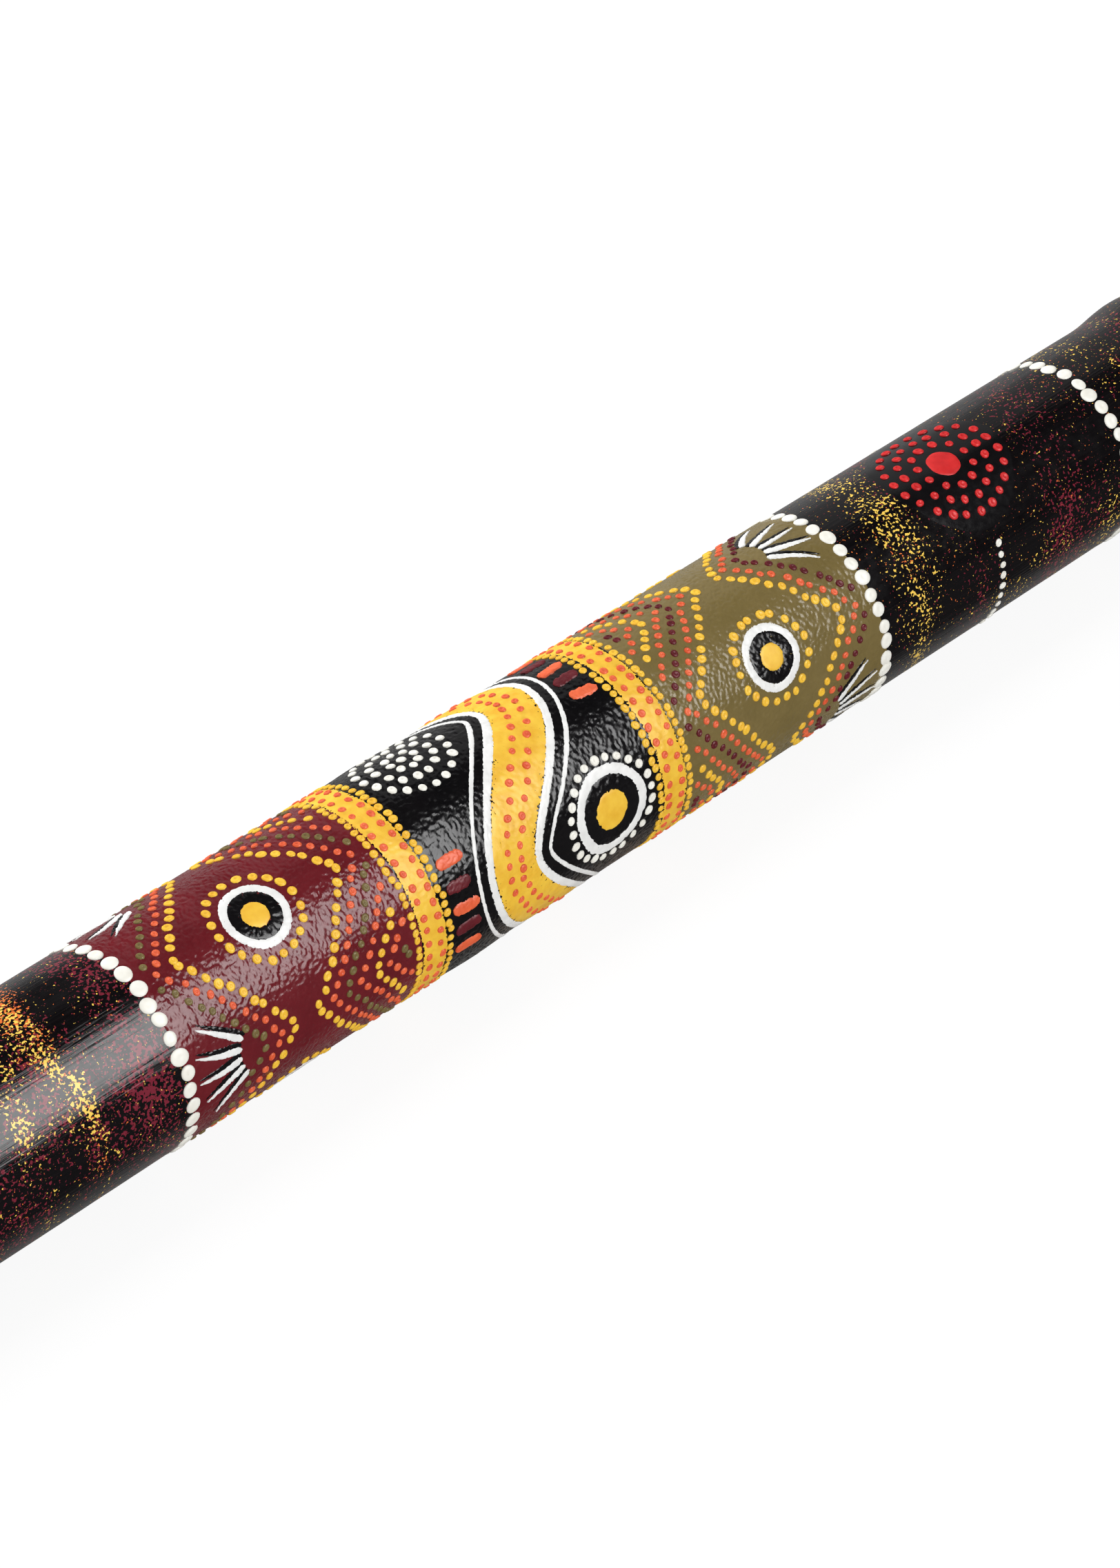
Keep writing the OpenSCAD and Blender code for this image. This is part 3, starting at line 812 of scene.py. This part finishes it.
def brushed_strip(name, path, edges, cells, seed, film=FILM, wobble=0.12 * MM, disc=False):
    """A flat strip along a path. path(s) gives points, edges(s) the offsets of its two sides.
    The paint thins out at both sides, but on a disc only at its outer one."""
    rng = np.random.default_rng(seed)
    start_fresh()
    bpy.ops.mesh.primitive_grid_add(x_subdivisions=cells[0], y_subdivisions=cells[1], size=1)
    strip = bpy.context.object
    strip.name = name
    grid = get_points(strip)
    s, t = grid[:, 0] + 0.5, grid[:, 1] + 0.5
    nudge = 1e-4
    middle = path(s)
    heading = path(s + nudge) - path(s - nudge)
    heading /= np.linalg.norm(heading, axis=1)[:, None]
    side = np.column_stack([-heading[:, 1], heading[:, 0]])
    near, far = edges(s)
    near = near + hand_wobble(rng, s, wobble)
    far = far + hand_wobble(rng, s, 0 if disc else wobble)
    offset = near + (far - near) * t
    flat = middle + side * offset[:, None]
    to_edge = np.maximum(1 - 2 * t, 0) if disc else np.abs(2 * t - 1)
    # Almost level in the middle, and down into the ground at the edge.
    height = film * (1.15 - 1.4 * to_edge ** 6)
    set_points(strip, np.column_stack([flat, height]))
    return strip


def finish_strips(strips, name, paint, node, peel=True):
    """Joins flat strips into one piece, wraps it, and gives it relief and a body."""
    start_fresh()
    for strip in strips:
        strip.select_set(True)
    bpy.context.view_layer.objects.active = strips[0]
    if len(strips) > 1:
        bpy.ops.object.join()
    piece = bpy.context.object
    piece.name = name
    wrap(piece)
    merge_doubles(piece)
    if peel:
        roughen(piece, orange_peel, PEEL_DEPTH)
    pick(piece)
    body = piece.modifiers.new("body", "SOLIDIFY")
    body.thickness = BODY
    body.offset = -1
    bpy.ops.object.modifier_apply(modifier=body.name)
    shade_smooth(piece, 60)
    piece.data.materials.append(paint)
    place_on_part(piece, node)


# %% The wavy band
WAVES = 2
# Half the width of the gold, the width of the white line along it, and where its thin echo is.
RIVER_GOLD = 7 * MM
RIVER_LINE = 2.5 * MM
RIVER_ECHO = 12 * MM
RIVER_CELLS = 440
river_low, river_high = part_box("river_gold")
river_swing = (river_high.x - river_low.x) / 2 - RIVER_GOLD
river_points = get_points(nodes["river_gold"])
crest = river_points[river_points[:, 0].argmax()]
crest_turn = math.atan2(crest[1], crest[2] - axis_z)


def river_path(s):
    """The middle of the wavy band, once round the tube."""
    turn = 2 * math.pi * s
    x = river_swing * np.cos(WAVES * (turn - crest_turn))
    return np.column_stack([x, round_r * turn])


def even_edges(near, far):
    """Edges that stay at fixed offsets all along a path."""
    def edges(s):
        return np.full_like(s, near), np.full_like(s, far)
    return edges


def river_strip(name, near, far, across, seed):
    """A strip that follows the wavy band, between two offsets from its middle."""
    return brushed_strip(name, river_path, even_edges(near, far), (RIVER_CELLS, across), seed)


gold_strip = river_strip("river gold", -RIVER_GOLD - TUCK, RIVER_GOLD + TUCK, 24, seed=201)
finish_strips([gold_strip], "river_gold_paint", gold_paint, "river_gold")
lines = []
for side in (-1, 1):
    for edge, width in ((RIVER_GOLD, RIVER_LINE), (RIVER_ECHO, RIVER_LINE / 2)):
        near, far = sorted((side * edge, side * (edge + width)))
        lines.append(river_strip("river line", near, far, 8, seed=210 + len(lines)))
finish_strips(lines, "river_lines_paint", white_line_paint, "river_white_lines")


# %% The gold borders
def ring_path(x):
    """A path once round the tube."""
    def path(s):
        return np.column_stack([np.full_like(s, x), way_round * s])
    return path


BORDER = 8.5 * MM
border_low, border_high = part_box("gold_borders")
border_edges = even_edges(-BORDER / 2, BORDER / 2)
borders = [
    brushed_strip("border", ring_path(x), border_edges, (360, 14), seed=220 + n, wobble=0.2 * MM)
    for n, x in enumerate((border_low.x + BORDER / 2, border_high.x - BORDER / 2))
]
finish_strips(borders, "gold_borders_paint", gold_paint, "gold_borders")

# %% [markdown]
# ## Medallions and the roundel
#
# Each medallion is a gold disc in a black ring in a white ring, and the red rosette has a red
# disc in the middle of a black roundel. Places and radii are measured on the solids. A circle
# could be filled and bevelled, but a ring is the same brushed strip as before, on a path that
# has shrunk to a point, so that only its two edges show. The painter let the black run a little
# under the colours beside it, so the black rings are tucked under. The solids were cut out
# straight down, as with a stencil, and `press_down` does the same.

# %% Brush discs and rings
POINT = 0.001 * MM


def circle_path(x, y, radius):
    """A path round a place on the flat bench."""
    def path(s):
        turn = 2 * math.pi * s
        return np.column_stack([x + radius * np.cos(turn), y + radius * np.sin(turn)])
    return path


def press_down(strip, y):
    """Widens a flat mark round the tube, as a stencil pressed straight down does."""
    points = get_points(strip)
    beside = np.clip((points[:, 1] - y) / skin(points[:, 0]), -1, 1)
    points[:, 1] = y + round_r * np.arcsin(beside)
    set_points(strip, points)


def round_mark(points, disc, film, tuck, seed):
    """A brushed disc or ring in the place of one body of a solid. tuck widens it both ways."""
    x, y, outer, _ = flat_place(points)
    inner = 0 if disc else np.hypot(*(unrolled(points) - (x, y)).T).min() - tuck
    outer += tuck
    across = max(6, round((outer - inner) / (0.5 * MM)))
    cells = (max(96, round(2 * math.pi * outer / (0.8 * MM))), across)
    path = circle_path(x, y, POINT)
    edges = even_edges(-outer, -inner)
    strip = brushed_strip("ring", path, edges, cells, seed, film=film, disc=disc)
    press_down(strip, y)
    return strip


ROUND_MARKS = (
    ("medallion_gold", gold_paint, "gold_paint", True, 1.4 * FILM, 0, False),
    ("medallion_black", black_paint, "black_paint", False, 0.8 * FILM, TUCK, True),
    ("medallion_white", white_line_paint, "white_line_paint", False, FILM, 0, True),
    ("black_roundel", black_paint, "black_paint", False, 0.5 * FILM, TUCK, False),
    ("red_disc", red_paint, "red_paint", True, 1.4 * FILM, 0, False),
)
for number, (node, paint, slot, disc, film, tuck, peel) in enumerate(ROUND_MARKS):
    strips = [
        round_mark(points, disc, film, tuck, seed=230 + 40 * number + k)
        for k, points in enumerate(loose_parts(node))
    ]
    finish_strips(strips, node + "_paint", paint, node, peel)

# %% [markdown]
# ## Strokes and bars
#
# Fans of white strokes stand between the diamonds. They were pulled with a loaded brush, so
# they start blunt and end in a point, and each has a thin black stroke beside it that makes it
# stand out. Short bars of orange and dark red stand in the narrow stretches of the black field.
# A bevelled curve could make a stroke, but it would be round like a wire. So all are brushed
# strips whose width changes along the way. Where a stroke lies, and which of its ends is the
# blunt one, is measured on its solid.

# %% Strips that change their width
def line_path(start, heading, length, bow):
    """A slightly bowed line on the flat bench."""
    ahead = np.array([math.cos(heading), math.sin(heading)])
    beside = np.array([-ahead[1], ahead[0]])
    def path(s):
        return start + np.outer(s * length, ahead) + np.outer(bow * np.sin(math.pi * s), beside)
    return path


def tapered_edges(width, blunt, shift=0.0):
    """Blunt where the brush lands, pointed where it lifts."""
    def edges(s):
        landing = np.sqrt(np.clip(s / blunt, 0, 1))
        lifting = (1 - np.clip(s, 0, 1) ** 1.5) ** 0.7
        half = width / 2 * landing * lifting
        return shift - half, shift + half
    return edges


def bar_edges(width):
    """Round at both ends."""
    def edges(s):
        half = width / 2 * (1 - np.clip(np.abs(2 * s - 1), 0, 1) ** 5) ** 0.5
        return -half, half
    return edges


def stroke_ends(points):
    """Where a stroke starts, its heading, its length and its width."""
    flat = unrolled(points)
    middle = flat.mean(0)
    ahead = np.linalg.svd(flat - middle, full_matrices=False)[2][0]
    along = (flat - middle) @ ahead
    across = (flat - middle) @ np.array([-ahead[1], ahead[0]])
    third = np.ptp(along) / 3
    first = across[along < along.min() + third]
    last = across[along > along.max() - third]
    widths = np.ptp(first), np.ptp(last)
    if widths[1] > widths[0]:
        ahead, along = -ahead, -along
    return middle + along.min() * ahead, math.atan2(ahead[1], ahead[0]), np.ptp(along), max(widths)


# %% Pull the strokes
# How far the black stroke lies beside the white one, and the share of a stroke that is blunt.
SHADOW = 1.2 * MM
BLUNT = 0.08
STROKE_CELLS = (40, 8)
STROKE_WOBBLE = 0.05 * MM
rng = np.random.default_rng(350)
white_strokes = []
black_strokes = []
for number, points in enumerate(loose_parts("white_strokes")):
    start, heading, length, width = stroke_ends(points)
    path = line_path(start, heading, length * rng.uniform(0.94, 1.08), rng.normal(0, 0.45 * MM))
    width *= rng.uniform(0.85, 1.25)
    shift = math.copysign(SHADOW, start[0])
    for strokes, edges, seed, film in (
        (white_strokes, tapered_edges(width, BLUNT), 360 + number, 0.22 * MM),
        (black_strokes, tapered_edges(width, BLUNT, shift), 460 + number, 0.1 * MM),
    ):
        strokes.append(brushed_strip("stroke", path, edges, STROKE_CELLS, seed, film, STROKE_WOBBLE))
for strokes, node, paint, slot in (
    (black_strokes, "black_stroke_shadows", black_paint, "black_paint"),
    (white_strokes, "white_strokes", white_line_paint, "white_line_paint"),
):
    finish_strips(strokes, node + "_paint", paint, node)

# %% Set the bars
BAR_CELLS = (24, 12)
for node, paint, slot in (
    ("orange_bars", orange_paint, "orange_paint"),
    ("dark_red_bars", dark_red_paint, "dark_red_paint"),
):
    bars = []
    for number, points in enumerate(loose_parts(node)):
        x, y, half_length, _ = flat_place(points)
        edges = bar_edges(np.ptp(unrolled(points)[:, 1]))
        lean = rng.normal(0, 0.06)
        start = np.array([x, y]) - half_length * np.array([math.cos(lean), math.sin(lean)])
        length = 2 * half_length * rng.uniform(0.92, 1.05)
        path = line_path(start, lean, length, rng.normal(0, 0.25 * MM))
        bars.append(brushed_strip("bar", path, edges, BAR_CELLS, 600 + number, 0.3 * MM, 0.08 * MM))
    finish_strips(bars, node + "_paint", paint, node)

# %% [markdown]
# ## Stage
#
# The instrument lies on a sheet of pale studio paper that looks white and keeps a faint shadow.
# More light could make it white, but would bleach the paint too. So part of what the camera
# sees of the paper is a plain glow. The paint is glossy and its blacks are deep, and a white
# sheet mirrored in it would turn them grey. There is no metal or glass on the piece that would
# need the white, so mirrored rays find dark paper in front of the tube. Under it, in its shadow,
# and behind it the paper is lighter to them, which gives the tube its two thin bright rims.

# %% Lay the floor
FLOOR_SIZE = 12
FLOOR_GAP = 0.5 * MM
# How pale the paper is: to the camera, to the light it throws back, and mirrored in the paint.
PAPER_SEEN = 0.95
PAPER_LIT = 0.35
MIRRORED_IN_FRONT = 0.05
MIRRORED_UNDER = 0.75
MIRRORED_BEHIND = 0.28
# Where the mirrored paper changes its level, across the tube.
FRONT_TO_UNDER = (-45 * MM, -25 * MM)
UNDER_TO_BEHIND = (20 * MM, 80 * MM)
# The glow that the camera sees, and its share.
GLOW = 1.05
GLOW_SHARE = 0.87


def grey(level):
    """A neutral colour from its linear level."""
    return (level, level, level, 1)


def floor_finish():
    """Pale studio paper: white to the camera, with the shadow still on it."""
    finish = Finish("studio paper")
    rays = finish.node("ShaderNodeLightPath").outputs
    seen = rays["Is Camera Ray"]
    under = finish.along("Y", *FRONT_TO_UNDER, 0, 1)
    behind = finish.along("Y", *UNDER_TO_BEHIND, 0, 1)
    mirrored = finish.mix(under, grey(MIRRORED_IN_FRONT), grey(MIRRORED_UNDER))
    mirrored = finish.mix(behind, mirrored, grey(MIRRORED_BEHIND))
    unseen = finish.mix(rays["Is Glossy Ray"], grey(PAPER_LIT), mirrored)
    finish.colour(finish.mix(seen, unseen, grey(PAPER_SEEN)))
    finish.shader.inputs["Roughness"].default_value = 0.9
    glow = finish.node("ShaderNodeEmission")
    glow.inputs["Strength"].default_value = GLOW
    blend = finish.node("ShaderNodeMixShader")
    finish.link(finish.between(seen, 0, 1, 0, GLOW_SHARE), blend.inputs["Fac"])
    finish.link(finish.shader.outputs["BSDF"], blend.inputs[1])
    finish.link(glow.outputs["Emission"], blend.inputs[2])
    finish.link(blend.outputs["Shader"], finish.tree.nodes["Material Output"].inputs["Surface"])
    return finish.material


start_fresh()
bpy.ops.mesh.primitive_plane_add(size=FLOOR_SIZE, location=(0, 0, -FLOOR_GAP))
floor = bpy.context.object
floor.name = "floor"
floor.data.materials.append(floor_finish())
print(f"floor of {FLOOR_SIZE} m laid")

# %% [markdown]
# ## Light
#
# The light is soft and comes from all round. One lamp could make both the light and the
# highlight, but on a glossy tube the two want different sizes. So some lamps only shine: they
# are seen in the paint as the band along the tube and the sheen of its upper side. The others
# only light, and so does the sky, which is white to the camera alone.

# %% Light the set
def facing(across, along, towards, where):
    """A turn and a place: three axes of a lamp or a camera, and where it stands."""
    return Matrix.Translation(where) @ Matrix((across, along, towards)).transposed().to_4x4()


def soft_box(name, place, long_axis, sizes, brightness, shines):
    """An area lamp that faces the middle of the tube, its long side along the given axis.
    One that shines makes only highlights, and one that doesn't makes all but those."""
    towards = Vector(place).normalized()
    along = Vector(long_axis)
    along = (along - along.dot(towards) * towards).normalized()
    lamp = bpy.data.lights.new(name, "AREA")
    lamp.shape = "RECTANGLE"
    lamp.size, lamp.size_y = sizes
    lamp.energy = brightness * math.pi * sizes[0] * sizes[1]
    holder = bpy.data.objects.new(name, lamp)
    where = Vector((0, 0, axis_z)) + Vector(place)
    holder.matrix_world = facing(along.cross(towards), along, towards, where)
    holder.visible_glossy = shines
    holder.visible_diffuse = not shines
    bpy.context.collection.objects.link(holder)


LAMPS = (
    ("key shine", (0.47, -0.95, 0.95), (0, -0.707, -0.707), (0.56, 1.2), 6.4, True),
    ("back shine", (1.05, 1.12, 0.73), (0, 0.545, -0.839), (0.9, 1.7), 0.3, True),
    ("rim shine", (1.05, 1.3, 0.1), (1, 0, 0), (0.5, 2.4), 0.14, True),
    ("top", (0, 1.0, 1.96), (1, 0, 0), (1.8, 1.8), 3.6, False),
    ("front", (-0.3, -1.95, 0.27), (1, 0, 0), (0.4, 1.8), 12, False),
    ("back", (0, 1.93, 0.52), (1, 0, 0), (0.6, 1.8), 9.5, False),
)
for lamp in LAMPS:
    soft_box(*lamp)
print("lamps:", len(LAMPS))

# %% Light the sky
SKY_SEEN = 1.0
SKY_LIT = 0.42
SKY_MIRRORED = 0.02


def studio_sky():
    """A white sky whose strength depends on what looks at it."""
    world = bpy.data.worlds.new("studio")
    world.use_nodes = True
    tree = world.node_tree
    background = tree.nodes["Background"]
    background.inputs["Color"].default_value = grey(1)
    rays = tree.nodes.new("ShaderNodeLightPath").outputs
    unseen = tree.nodes.new("ShaderNodeMapRange")
    unseen.inputs["To Min"].default_value = SKY_LIT
    unseen.inputs["To Max"].default_value = SKY_MIRRORED
    level = tree.nodes.new("ShaderNodeMapRange")
    level.inputs["To Max"].default_value = SKY_SEEN
    tree.links.new(rays["Is Glossy Ray"], unseen.inputs["Value"])
    tree.links.new(unseen.outputs["Result"], level.inputs["To Min"])
    tree.links.new(rays["Is Camera Ray"], level.inputs["Value"])
    tree.links.new(level.outputs["Result"], background.inputs["Strength"])
    return world


bpy.context.scene.world = studio_sky()
print("sky:", bpy.context.scene.world.name)

# %% [markdown]
# ## Camera
#
# The picture is taken from above the middle of the tube, looking along it towards the mouth,
# through a long lens that keeps both sides of the tube almost parallel. A Track To constraint
# could aim the camera, but a matrix of its three axes says the same in one line and needs no
# target.

# %% Set up the camera
LENS = 113.95
DISTANCE = 1.322
AIM = (0.0264, 0, axis_z)
# How far the picture is moved to the right and up from there.
AIM_SHIFT = (0.00177, -0.00286)
forward = Vector((0.531, 0.544, -0.649)).normalized()
right = forward.cross(Vector((0, 0, 1))).normalized()
up = right.cross(forward)
aim = Vector(AIM) + AIM_SHIFT[0] * right + AIM_SHIFT[1] * up
camera_data = bpy.data.cameras.new("camera")
camera_data.lens = LENS
camera_data.sensor_fit = "VERTICAL"
camera_data.sensor_height = 36
camera = bpy.data.objects.new("camera", camera_data)
camera.matrix_world = facing(right, up, -forward, aim - DISTANCE * forward)
bpy.context.collection.objects.link(camera)
bpy.context.scene.camera = camera
bpy.context.scene.view_settings.view_transform = "Standard"
print(f"camera {DISTANCE} m away with a {LENS} mm lens")

# %% [markdown]
# ## Clearing up
#
# The drops that were copied are no longer needed.

# %% Remove the drops that were copied
for model in (large_drop, small_drop):
    bpy.data.objects.remove(model)
